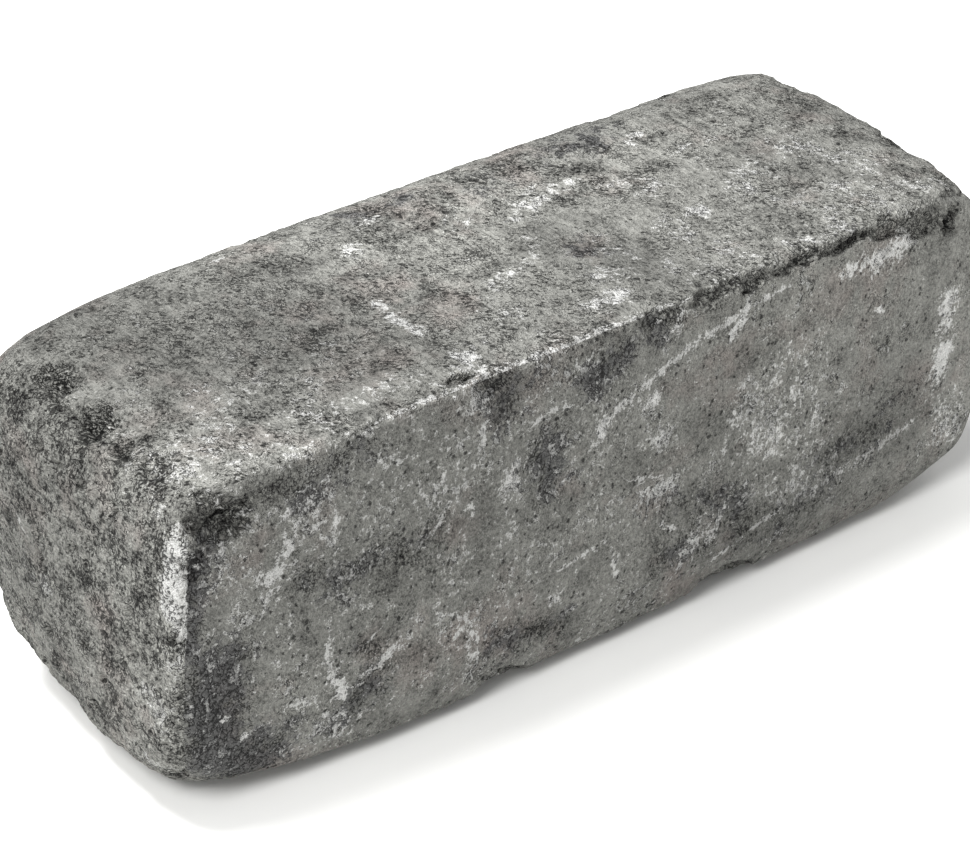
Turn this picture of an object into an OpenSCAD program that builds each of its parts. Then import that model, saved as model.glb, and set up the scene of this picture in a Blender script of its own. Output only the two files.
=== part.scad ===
// Tumbled concrete wall block.
//
// A solid block of dry-cast concrete for low garden walls.  It leaves its mould as a plain
// cuboid and is then tumbled with other blocks.  That wears its sides away in a slope beside
// each edge, knocks its corners in, rounds the arrises between them and breaks small spalls
// out.  The middles of its six sides stay flat, as they were moulded.
//
// The block lies on its bed.  The origin is the middle of the bed, +X runs along the length
// and +Z is up.  -Y is the face that shows in a wall, and +Y is the back.

/* [Block] */
// Length of the block, from end to end
block_length = 300; // [220:5:420]
// Depth of the block, from the face to the back
block_depth = 110; // [90:5:180]
// Height of the block, which is one course of the wall
block_height = 110; // [90:5:180]

/* [Rounding] */
// Radius of the arrises
arris_radius = 2; // [1:0.5:8]
// Extra radius at the corners
corner_radius = 12; // [0:1:20]
// Extra radius at the chipped corner, of the left end, the face and the top
chipped_corner_radius = 2; // [0:1:20]
// How far along the arrises the extra radius of a corner reaches
corner_radius_reach = 45; // [20:1:60]

/* [Wear beside the long edges] */
// How far the face and the bed are worn down towards the edge between them
face_bed_wear = 5; // [0:0.5:12]
// How far the back and the bed are worn down towards the edge between them
back_bed_wear = 2; // [0:0.5:12]
// How far the face and the top are worn down towards the edge between them
face_top_wear = 0; // [0:0.5:12]
// How far the back and the top are worn down towards the edge between them
back_top_wear = 12; // [0:0.5:12]

/* [Wear beside the end edges] */
// How far the left end and the bed are worn down towards the edge between them
left_bed_wear = 6.5; // [0:0.5:12]
// How far the right end and the bed are worn down towards the edge between them
right_bed_wear = 6; // [0:0.5:12]
// How far the left end and the top are worn down towards the edge between them
left_top_wear = 6; // [0:0.5:12]
// How far the right end and the top are worn down towards the edge between them
right_top_wear = 9.5; // [0:0.5:12]

/* [Wear beside the upright edges] */
// How far the left end and the face are worn down towards the edge between them
left_face_wear = 1.5; // [0:0.5:12]
// How far the right end and the face are worn down towards the edge between them
right_face_wear = 0; // [0:0.5:12]
// How far the left end and the back are worn down towards the edge between them
left_back_wear = 7; // [0:0.5:12]
// How far the right end and the back are worn down towards the edge between them
right_back_wear = 0; // [0:0.5:12]

/* [Knocked corners] */
// How far the corner of the left end, the face and the bed is knocked in
left_face_bed_knock = 5; // [0:0.5:14]
// How far the corner of the left end, the face and the top is knocked in
left_face_top_knock = 5; // [0:0.5:14]
// How far the corner of the left end, the back and the bed is knocked in
left_back_bed_knock = 12; // [0:0.5:14]
// How far the corner of the left end, the back and the top is knocked in
left_back_top_knock = 3.5; // [0:0.5:14]
// How far the corner of the right end, the face and the bed is knocked in
right_face_bed_knock = 0.5; // [0:0.5:14]
// How far the corner of the right end, the face and the top is knocked in
right_face_top_knock = 2.5; // [0:0.5:14]
// How far the corner of the right end, the back and the bed is knocked in
right_back_bed_knock = 5.5; // [0:0.5:14]
// How far the corner of the right end, the back and the top is knocked in
right_back_top_knock = 0.5; // [0:0.5:14]

/* [Reach of the wear] */
// Width of the worn slope beside an edge
wear_reach = 27; // [15:1:40]
// How far from its corner a knock still shows
knock_reach = 95; // [40:5:120]

/* [Chips and roughness] */
// How much deeper the wear beside the edges gets where it wanders in
edge_wander = 1; // [0:0.1:3]
// Depth of the spalls, where 1 is as they broke
spall_depth = 1; // [0:0.05:1.5]
// Skin ground off the bed and the top, which leaves their middles truly flat
bearing_trim = 0.3; // [0.1:0.1:1]

/* [Hidden] */

concrete_grey = "#6e6d6a";
// Half the size of the block before its bed and top are ground flat
half_size = [block_length, block_depth, block_height + 2 * bearing_trim] / 2;
// Depth of the core under the sides, from which the rays to the skin leave
core_depth = 24;
// How often a ray's length is put right, and the share of what is wrong that each turn takes off
TURNS = 6;
TURN_SHARE = 0.8;

// The edges, each as the side of the block that it lies on along X, Y and Z (0 for the axis
// that it runs along), and how far the sides are worn down towards it
EDGES = [
    [[0, -1, -1], face_bed_wear],
    [[0, 1, -1], back_bed_wear],
    [[0, -1, 1], face_top_wear],
    [[0, 1, 1], back_top_wear],
    [[-1, 0, -1], left_bed_wear],
    [[1, 0, -1], right_bed_wear],
    [[-1, 0, 1], left_top_wear],
    [[1, 0, 1], right_top_wear],
    [[-1, -1, 0], left_face_wear],
    [[1, -1, 0], right_face_wear],
    [[-1, 1, 0], left_back_wear],
    [[1, 1, 0], right_back_wear],
];

// The corners in the same way, each with how far it is knocked in and its extra radius
CORNERS = [
    [[-1, -1, -1], left_face_bed_knock, corner_radius],
    [[-1, -1, 1], left_face_top_knock, chipped_corner_radius],
    [[-1, 1, -1], left_back_bed_knock, corner_radius],
    [[-1, 1, 1], left_back_top_knock, corner_radius],
    [[1, -1, -1], right_face_bed_knock, corner_radius],
    [[1, -1, 1], right_face_top_knock, corner_radius],
    [[1, 1, -1], right_back_bed_knock, corner_radius],
    [[1, 1, 1], right_back_top_knock, corner_radius],
];

// The spalls, each as the corner that it is measured from, the distances from that corner to
// its middle along X, Y and Z, its half-widths along X, Y and Z, and its depth
SPALLS = [
    // the chip out of the face's left top corner, and its tail down the upright edge
    [[-1, -1, 1], [16, 8, 15], [11, 7, 8], 3.2],
    [[-1, -1, 1], [9, 5, 36], [6, 6, 24], 1.6],
    // two bites out of the left end's top edge, and the crumbled edge between and beside them
    [[-1, -1, 1], [14, 70, 6], [8, 9, 7], 3.5],
    [[-1, -1, 1], [9, 50, 8], [8, 9, 7], 3.5],
    [[-1, -1, 1], [12, 60, 6], [8, 9, 7], 2],
    [[-1, -1, 1], [9, 32, 8], [6, 14, 6], 1.2],
    // a nick and a run of breaks along the face's top edge, deepest towards the right
    [[-1, -1, 1], [100, 0, 3], [10, 3, 4], 1.4],
    [[1, -1, 1], [142, 0, 3], [10, 3, 4], 1.2],
    [[1, -1, 1], [126, 1, 4], [12, 4, 4], 1.8],
    [[1, -1, 1], [107, 1, 4], [13, 4, 5], 2.4],
    [[1, -1, 1], [85, 1, 3], [12, 4, 4], 1.8],
    [[1, -1, 1], [65, 2, 5], [13, 4, 5], 2.2],
    [[1, -1, 1], [36, 3, 10], [14, 6, 9], 3],
    [[1, -1, 1], [24, 3, 9], [7, 7, 8], 3.5],
    // nicks in the right end's top edge
    [[1, -1, 1], [19, 37, 3], [10, 12, 9], 2.5],
    [[1, 1, 1], [20, 27, 2], [9, 9, 8], 1.5],
    // breaks in the face's bed edge
    [[1, -1, -1], [103, 3, 4], [14, 7, 8], 1.6],
    [[-1, -1, -1], [112, 4, 5], [10, 7, 8], 1.2],
    // breaks in the edges of the back and of the right end
    [[-1, 1, 1], [96, 9, 9], [26, 10, 10], 1.5],
    [[1, 1, 1], [70, 9, 9], [22, 9, 10], 1.5],
    [[1, 1, -1], [105, 3, 3], [24, 8, 10], 2.2],
    [[1, 1, -1], [6, 40, 6], [9, 16, 10], 2.2],
    [[-1, 1, -1], [7, 8, 34], [9, 9, 18], 2],
];

// The waves that the wear wanders in, each as the degrees that it turns for each
// millimetre along X, Y and Z, and the angle that it starts from
WAVES = [
    [[7, 11, 0], 40],
    [[13, 0, -9], 160],
    [[5, 17, 15], 0],
];

function total(values) = values * [for (value = values) 1];

// Distance of a point from the moulded side across an axis, towards minus or plus
function gap(p, axis, side) = half_size[axis] - side * p[axis];

// Distance of a point from an edge or a corner, along the side that is across an axis
function away(p, axis, sides) =
    norm([for (a = [0:2]) a == axis || sides[a] == 0 ? 0 : gap(p, a, sides[a])]);

// Two ways to fade from 1 to 0, with a level end: a slope is steepest where it starts, and a
// knock is round there
function slope_fade(share) = pow(max(0, 1 - share), 2);
function round_fade(share) = pow(max(0, 1 - share * share), 2);

// Wander of the wear at a point, between 0 and 1
function wander(p) = total([for (wave = WAVES) 1 + sin(wave[0] * p + wave[1])]) / 2 / len(WAVES);

// How far a side of the block is worn and knocked in beneath a point
function sag(p, axis, side) =
    total([
        for (edge = EDGES)
            if (edge[0][axis] == side)
                (edge[1] + edge_wander * wander(p))
                    * slope_fade(away(p, axis, edge[0]) / wear_reach)
    ])
    + total([
        for (corner = CORNERS)
            if (corner[0][axis] == side)
                corner[1] * round_fade(away(p, axis, corner[0]) / knock_reach)
    ]);

// The same in the middles of the sides.  It is taken off everywhere, so that the middles stay
// where they were moulded and the block keeps its size.
MIDDLE_SAG = [for (axis = [0:2]) [for (side = [-1, 1]) sag([0, 0, 0], axis, side)]];

// How far the side that a point is nearer to lies in from the moulded one
function worn_depth(p, axis) =
    p[axis] < 0 ? max(0, sag(p, axis, -1) - MIDDLE_SAG[axis][0])
    : max(0, sag(p, axis, 1) - MIDDLE_SAG[axis][1]);

// Radius of the rounding at a point of the cuboid.  The farthest side alone sets how far a
// corner is, so that the radius is the same all across an arris.
function radius_at(p) =
    arris_radius + total([
        for (corner = CORNERS)
            let (farthest = max([for (a = [0:2]) gap(p, a, corner[0][a])]))
            corner[2] * round_fade(farthest / corner_radius_reach)
    ]);

// How far a point lies outside the worn sides and the rounding between them
function outside(p, radius) =
    let (over = [
        for (axis = [0:2]) abs(p[axis]) - half_size[axis] + worn_depth(p, axis) + radius
    ])
    norm([for (value = over) max(0, value)]) + min(0, max(over)) - radius;

// Length of the ray that goes from the core to the worn skin, settled in a few turns
function ray_length(core, out, radius, length = core_depth, turn = 0) =
    turn == TURNS ? length
    : ray_length(
        core, out, radius,
        length - TURN_SHARE * outside(core + length * out, radius),
        turn + 1
    );

// Depth that the spalls break in at a point: each is a bowl with a sharp rim
function spall(p) =
    spall_depth * max([
        for (bite = SPALLS)
            let (
                middle = [for (axis = [0:2]) bite[0][axis] * (half_size[axis] - bite[1][axis])],
                off = [for (axis = [0:2]) (p[axis] - middle[axis]) / bite[2][axis]]
            )
            bite[3] * max(0, 1 - off * off)
    ]);

// A point of the cuboid, brought in along its ray to the tumbled skin.  The rays leave the
// core square to the sides in their middles, and fan out towards the edges and the corners.
function weathered(p) =
    let (
        core = [for (axis = [0:2]) sign(p[axis]) * min(abs(p[axis]), half_size[axis] - core_depth)],
        out = (p - core) / norm(p - core),
        length = ray_length(core, out, radius_at(p))
    )
    core + (length - spall(core + length * out)) * out;

// Distances of the grid lines from an edge, close together at the arris
EDGE_LINES = [0, 0.9, 2, 3.5, 6, 9, 13, 18, core_depth];
last_line = len(EDGE_LINES) - 1;
// Numbers of even cells between them, along the length and round the girth
length_cells = 36;
girth_cells = 7;

// Grid lines along one side of the block, from one edge to the other
function grid_lines(half, cells) =
    let (even = half - EDGE_LINES[last_line])
    concat(
        [for (line = EDGE_LINES) line - half],
        [for (i = [1:1:cells - 1]) 2 * even * i / cells - even],
        [for (i = [last_line:-1:0]) half - EDGE_LINES[i]]
    );

X = grid_lines(half_size.x, length_cells);
Y = grid_lines(half_size.y, girth_cells);
Z = grid_lines(half_size.z, girth_cells);
last_x = len(X) - 1;
last_y = len(Y) - 1;
last_z = len(Z) - 1;
girth = 2 * (last_y + last_z);

// One ring of grid points round the girth: bed, back, top and face
RING = concat(
    [for (j = [0:last_y - 1]) [j, 0]],
    [for (k = [0:last_z - 1]) [last_y, k]],
    [for (j = [last_y:-1:1]) [j, last_z]],
    [for (k = [last_z:-1:1]) [0, k]]
);

// Place in the point list of the grid point j, k of an end
function end_point(end, j, k) =
    k == 0 ? end * last_x * girth + j
    : j == last_y ? end * last_x * girth + last_y + k
    : k == last_z ? end * last_x * girth + last_y + last_z + last_y - j
    : j == 0 ? end * last_x * girth + 2 * last_y + last_z + last_z - k
    : (last_x + 1) * girth + end * (last_y - 1) * (last_z - 1) + (j - 1) * (last_z - 1) + k - 1;

// A grid square of an end, which starts along Y or Z so that it faces outwards
function end_quad(end, j, k, step) = [
    end_point(end, j, k),
    end_point(end, j + step[0], k + step[1]),
    end_point(end, j + 1, k + 1),
    end_point(end, j + step[1], k + step[0])
];

function split(quad) = [[quad[0], quad[1], quad[2]], [quad[0], quad[2], quad[3]]];

// The whole tumbled skin: rings along the length, closed by a grid at each end
module tumbled_skin() {
    sides = [
        for (x = X)
            for (spot = RING)
                weathered([x, Y[spot[0]], Z[spot[1]]])
    ];
    ends = [
        for (x = [X[0], X[last_x]])
            for (j = [1:last_y - 1])
                for (k = [1:last_z - 1])
                    weathered([x, Y[j], Z[k]])
    ];
    side_faces = [
        for (i = [0:last_x - 1])
            for (n = [0:girth - 1])
                let (a = i * girth + n, b = i * girth + (n + 1) % girth)
                each split([a, a + girth, b + girth, b])
    ];
    end_faces = [
        for (j = [0:last_y - 1])
            for (k = [0:last_z - 1])
                each concat(split(end_quad(0, j, k, [1, 0])), split(end_quad(1, j, k, [0, 1])))
    ];
    polyhedron(points = concat(sides, ends), faces = concat(side_faces, end_faces), convexity = 4);
}

// The tumbled block, between the two planes that its courses bear on
module block() {
    color(concrete_grey)
        translate([0, 0, block_height / 2])
            intersection() {
                tumbled_skin();
                cube([2 * block_length, 2 * block_depth, block_height], center = true);
            }
}

block();
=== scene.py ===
"""Tumbled concrete wall block: the broken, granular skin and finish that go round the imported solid.

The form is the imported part's own: sides worn down in slopes, knocked corners, rounded arrises,
and spalls, which are broken up here into narrower ones with ragged rims.  The mesh adds ragged
arrises, lumps, crumbs and pits, and the material sand grains, pores, stains, lime bloom and scuffs.
"""

import math

import bpy
import numpy as np
from bpy.props import FloatProperty, FloatVectorProperty, PointerProperty
from mathutils import Matrix, Vector


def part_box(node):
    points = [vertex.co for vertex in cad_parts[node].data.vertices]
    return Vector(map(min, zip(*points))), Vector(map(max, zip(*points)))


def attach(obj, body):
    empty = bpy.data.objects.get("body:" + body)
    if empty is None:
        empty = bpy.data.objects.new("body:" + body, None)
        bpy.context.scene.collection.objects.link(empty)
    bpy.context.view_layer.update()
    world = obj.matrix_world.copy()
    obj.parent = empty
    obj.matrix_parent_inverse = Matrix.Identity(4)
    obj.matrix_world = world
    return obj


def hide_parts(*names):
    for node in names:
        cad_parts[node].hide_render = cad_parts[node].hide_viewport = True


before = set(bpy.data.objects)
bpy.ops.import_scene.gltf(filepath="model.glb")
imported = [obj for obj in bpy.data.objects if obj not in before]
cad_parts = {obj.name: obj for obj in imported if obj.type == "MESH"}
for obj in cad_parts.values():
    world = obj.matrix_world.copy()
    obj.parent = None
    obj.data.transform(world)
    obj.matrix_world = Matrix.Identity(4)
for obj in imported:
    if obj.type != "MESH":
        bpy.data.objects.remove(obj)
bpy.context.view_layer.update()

bl_info = {
    "name": "Tumbled Concrete Wall Block",
    "version": (1, 0, 0),
    "blender": (4, 5, 0),
    "location": "3D View > Sidebar > Wall Block",
    "description": "Builds a tumbled concrete wall block and a plain studio stage for it",
    "category": "Add Mesh",
}

MM = 0.001
BLOCK_LOW, BLOCK_HIGH = (np.array(corner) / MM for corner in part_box("block"))
# The skin ground off the bed and the top, in mm
BEARING_TRIM = 0.3
HALF = (BLOCK_HIGH - BLOCK_LOW) / 2 + np.array([0, 0, BEARING_TRIM])
MIDDLE = (BLOCK_HIGH + BLOCK_LOW) / 2

# The worn form, in mm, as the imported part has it
ARRIS_RADIUS = 2
CORNER_RADIUS = 12
CORNER_RADIUS_REACH = 45
CHIPPED_CORNER = (-1, -1, 1)
CHIPPED_RADIUS = 2
WEAR_REACH = 27
KNOCK_REACH = 95
CORE_DEPTH = 24
EDGE_WANDER = 1
# Turns in which a ray's length settles, and the share of its error that each takes off
TURNS = 8
TURN_SHARE = 0.8

# Wear towards each edge.  An edge is the side that it lies on along X, Y and Z, where -Y is the
# face and 0 is the axis that it runs along.
WEAR = {
    (0, -1, -1): 5,
    (0, 1, -1): 2,
    (0, -1, 1): 0,
    (0, 1, 1): 12,
    (-1, 0, -1): 6.5,
    (1, 0, -1): 6,
    (-1, 0, 1): 6,
    (1, 0, 1): 9.5,
    (-1, -1, 0): 1.5,
    (1, -1, 0): 0,
    (-1, 1, 0): 7,
    (1, 1, 0): 0,
}

# How far each corner is knocked in
KNOCKS = {
    (-1, -1, -1): 5,
    (-1, -1, 1): 5,
    (-1, 1, -1): 12,
    (-1, 1, 1): 3.5,
    (1, -1, -1): 0.5,
    (1, -1, 1): 2.5,
    (1, 1, -1): 5.5,
    (1, 1, 1): 0.5,
}

# Width of the mesh's cells in a band along the arrises, and that band's width, in mm
ARRIS_CELL = 0.8
ARRIS_BAND = 12.8

# Waves that the wear wanders in: degrees for each mm along X, Y and Z, and the starting angle
WANDER_WAVES = [((7, 11, 0), 40), ((13, 0, -9), 160), ((5, 17, 15), 0)]

# Spalls: the corner that each is measured from, the distances from it to the middle, the
# half-widths, and the depth
SPALLS = [
    # The chip at the face's left top corner, and its tail down the upright edge
    ((-1, -1, 1), (16, 8, 15), (11, 7, 8), 3.2),
    ((-1, -1, 1), (6, 3, 27), (4, 4, 8), 1.2),
    ((-1, -1, 1), (5, 2, 43), (3, 3, 5), 2.4),
    ((-1, -1, 1), (5, 2, 58), (3, 3, 9), 0.9),
    # The left end's top edge
    ((-1, -1, 1), (12, 70, 6), (7, 8, 6), 3.8),
    ((-1, -1, 1), (9, 50, 8), (7, 7, 6), 3.8),
    ((-1, -1, 1), (8, 36, 8), (3, 4, 4), 1.2),
    ((-1, -1, 1), (9, 24, 8), (5, 6, 5), 1.6),
    # Pits in the left end
    ((-1, -1, -1), (0, 62, 57), (3, 1.7, 2.6), 1.8),
    ((-1, -1, -1), (0, 44, 42), (3, 1.4, 1.8), 1.4),
    ((-1, -1, -1), (0, 42, 80), (3, 1.4, 1.8), 1.4),
    # The face's top edge
    ((-1, -1, 1), (100, 0, 3), (8, 2, 3), 0.8),
    ((-1, -1, 1), (92, 4, 0), (5, 1.5, 2), 1.8),
    ((1, -1, 1), (142, 0, 3), (9, 3, 4), 1.2),
    ((1, -1, 1), (126, 1, 3), (10, 2.2, 2.4), 0.9),
    ((1, -1, 1), (107, 1, 3), (12, 2.4, 2.6), 1.2),
    ((1, -1, 1), (88, 1, 3), (11, 3, 2.2), 1.8),
    ((1, -1, 1), (68, 1, 3), (11, 3, 2.6), 2.2),
    ((1, -1, 1), (52, 2, 5), (10, 3, 4), 0.9),
    ((1, -1, 1), (37, 2, 8), (10, 4, 6), 0.8),
    ((1, -1, 1), (25, 3, 11), (4, 6, 5), 3.2),
    # The right end's top edge
    ((1, -1, 1), (10, 37, 3), (8, 12, 7), 1.4),
    ((1, 1, 1), (10, 27, 2), (7, 9, 6), 1.2),
    # The face's bed edge
    ((1, -1, -1), (103, 3, 4), (14, 7, 8), 1.6),
    ((-1, -1, -1), (112, 4, 5), (10, 7, 8), 1.2),
    # The back's edges, and the right end's bed edge
    ((-1, 1, 1), (82, 8, 8), (8, 5, 5), 1.1),
    ((-1, 1, 1), (97, 9, 9), (11, 6, 5), 1.6),
    ((-1, 1, 1), (114, 7, 8), (9, 4, 4), 0.9),
    ((1, 1, 1), (60, 8, 8), (7, 4, 5), 1),
    ((1, 1, 1), (73, 9, 9), (10, 6, 6), 1.6),
    ((1, 1, -1), (92, 3, 3), (9, 4, 6), 1.4),
    ((1, 1, -1), (107, 2, 4), (11, 5, 8), 2),
    ((1, 1, -1), (124, 3, 2), (6, 3, 4), 1),
    ((1, 1, -1), (5, 36, 5), (6, 9, 7), 2),
    ((1, 1, -1), (4, 50, 4), (4, 6, 5), 1.2),
    ((-1, 1, -1), (6, 7, 28), (6, 6, 9), 1.9),
    ((-1, 1, -1), (6, 6, 44), (5, 5, 8), 1.4),
]


# ---- noise

# The noises: the size of each one's lumps in mm, its seed, how many octaves it has, and how much
# each octave counts against the one before
CRUMBS = (3.6, 3, 3, 0.8)
CLODS = (5.5, 8, 3, 0.7)
NICKS = (6, 5, 4, 0.7)
TONES = (60, 20, 3, 0.5)
BLOOM_PLACES = (20, 30, 4, 0.6)
STAIN_PLACES = (26, 40, 4, 0.6)
OPEN_PLACES = (25, 50, 4, 0.5)
# Noises that are deep, or that shift places: how far in mm, and then the same
WAVES = (0.4, 42, 1, 2, 0.5)
LUMPS = (0.5, 11, 2, 3, 0.5)
WOBBLES = (0.45, 3.4, 6, 2, 0.8)
SPALL_SHIFT = (3, 6, 60, 3, 0.7)
PIT_SHIFT = (1.5, 4, 70, 2, 0.5)
MARK_SHIFT = (3, 9, 80, 3, 0.6)
# How far each octave is moved from the one before, so that their cells don't line up, in mm
OCTAVE_SHIFT = 17.3


def scramble(cells, seed):
    """Turns whole-number grid cells into random numbers from 0 to 1: the three numbers of a cell
    are multiplied by odd constants, mixed and folded over themselves."""
    mixed = (
        cells[..., 0].astype(np.uint32) * np.uint32(0x9E3779B1)
        ^ cells[..., 1].astype(np.uint32) * np.uint32(0x85EBCA77)
        ^ cells[..., 2].astype(np.uint32) * np.uint32(0xC2B2AE3D)
        ^ np.uint32(seed * 0x27D4EB2F & 0xFFFFFFFF)
    )
    for shift, odd in ((15, 0x2C1B3C6D), (12, 0x297A2D39)):
        mixed = (mixed ^ (mixed >> np.uint32(shift))) * np.uint32(odd)
    mixed = mixed ^ (mixed >> np.uint32(15))
    return mixed / 2.0**32


def smooth_noise(points, size, seed):
    """Noise from -1 to 1 with lumps of about one size: random values on a cubic grid of that
    size, blended between the eight corners of each cell by a curve level at its ends."""
    scaled = points / size
    low = np.floor(scaled)
    part = scaled - low
    part = part * part * part * (part * (part * 6 - 15) + 10)
    low = low.astype(np.int64)
    total = np.zeros(len(points))
    for corner in np.ndindex(2, 2, 2):
        share = np.prod(np.where(corner, part, 1 - part), axis=1)
        total += share * scramble(low + np.array(corner), seed)
    return 2 * total - 1


def rough_noise(points, size, seed, octaves, gain):
    """Noise from -1 to 1 with finer and finer lumps: each octave is half the size of the one
    before, and counts gain times as much."""
    shares = gain ** np.arange(octaves)
    layers = [
        share * smooth_noise(points + OCTAVE_SHIFT * octave, size / 2**octave, seed + octave)
        for octave, share in enumerate(shares)
    ]
    return sum(layers) / shares.sum()


def noise_depth(points, depth, *noise):
    """A rough noise from 0 to a depth."""
    return depth * (0.5 + 0.5 * rough_noise(points, *noise))


def noise_shift(points, reach, size, seed, octaves, gain):
    """Points shifted along X, Y and Z by three rough noises, up to a reach both ways."""
    shifts = [rough_noise(points, size, seed + axis, octaves, gain) for axis in range(3)]
    return points + reach * np.stack(shifts, axis=1)


def cell_noise(points, size, seed):
    """Distance to the nearest of one random spot in every cubic cell, as a share of the cell's
    size, and that spot's own random number."""
    scaled = points / size
    cells = np.floor(scaled).astype(np.int64)
    nearest = np.full(len(points), np.inf)
    number = np.zeros(len(points))
    for step in np.ndindex(3, 3, 3):
        cell = cells + np.array(step) - 1
        spot = cell + np.stack([scramble(cell, seed + axis) for axis in range(3)], axis=1)
        gap = np.linalg.norm(scaled - spot, axis=1)
        closer = gap < nearest
        nearest = np.where(closer, gap, nearest)
        number = np.where(closer, scramble(cell, seed + 3), number)
    return nearest, number


def ramp(values, start, end):
    """Goes from 0 at the start to 1 at the end, level at both."""
    share = np.clip((values - start) / (end - start), 0, 1)
    return share * share * (3 - 2 * share)


# ---- marks

# The sides: the axis that each lies across, towards which end of it, and the two axes that a
# place on it is given by
SIDES = {
    "face": (1, -1, (0, 2)),
    "back": (1, 1, (0, 2)),
    "left": (0, -1, (1, 2)),
    "right": (0, 1, (1, 2)),
    "bed": (2, -1, (0, 1)),
    "top": (2, 1, (0, 1)),
}
# How near to a side a point of the cuboid counts as on it, in mm
ON_SIDE = 1e-6

# Scratches, and a painted highlight along the top's front arris: the side, the places in mm
# that each runs through, and its half-width
SCRATCHES_AND_ARRIS_HIGHLIGHT = [
    ("face", [(-14, 77), (-4, 84), (10, 90), (20, 94), (42, 99), (60, 101)], 1.5),
    ("face", [(-13, 79), (-6, 83), (2, 86)], 2.2),
    ("face", [(78, 27), (98, 30), (120, 35)], 1.4),
    ("face", [(25, 21), (30, 29), (32, 35)], 2.1),
    ("face", [(34, 22), (38, 30), (42, 37)], 1.8),
    ("face", [(-2, 35), (-1, 27)], 1.4),
    ("face", [(-90, 29), (-84, 33), (-73, 38)], 2),
    ("face", [(-64, 41), (-55, 36), (-51, 28), (-49, 16)], 0.9),
    ("face", [(-100, 86), (-100, 75)], 1.3),
    ("face", [(-101, 52), (-101, 40), (-97, 33)], 1.3),
    ("face", [(-117, 89), (-110, 92), (-103, 92)], 1.5),
    ("face", [(-122, 73), (-116, 77), (-112, 82)], 1.5),
    ("face", [(-109, 82), (-103, 85)], 1),
    ("face", [(-122, 62), (-120, 69), (-114, 70)], 0.9),
    ("face", [(-137, 76), (-133, 82)], 1.1),
    ("face", [(-113, 31), (-103, 28)], 1.4),
    ("face", [(-88, 94), (-78, 95)], 0.9),
    ("face", [(-70, 79), (-66, 87)], 1.5),
    ("face", [(-68, 69), (-64, 76)], 1.2),
    ("face", [(-38, 89), (-30, 92), (-22, 90)], 0.8),
    ("face", [(-23, 38), (-6, 41)], 0.9),
    ("face", [(2, 58), (12, 55)], 0.9),
    ("face", [(8, 49), (20, 52)], 1.7),
    ("face", [(14, 39), (22, 34)], 0.9),
    ("face", [(36, 16), (50, 20)], 0.8),
    ("face", [(52, 22), (68, 25)], 0.8),
    ("top", [(-97, -35), (-99, -46)], 1.2),
    ("left", [(-47, 96), (-46, 86)], 1.6),
    ("left", [(46, 94), (41, 83)], 1.3),
    # A painted highlight: a thin pale line on the top along its front arris, where the crest catches
    # the light
    ("top", [(-132, -53.6), (-90, -53.9), (-45, -53.6), (14, -53.8)], 1.5),
]

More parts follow.
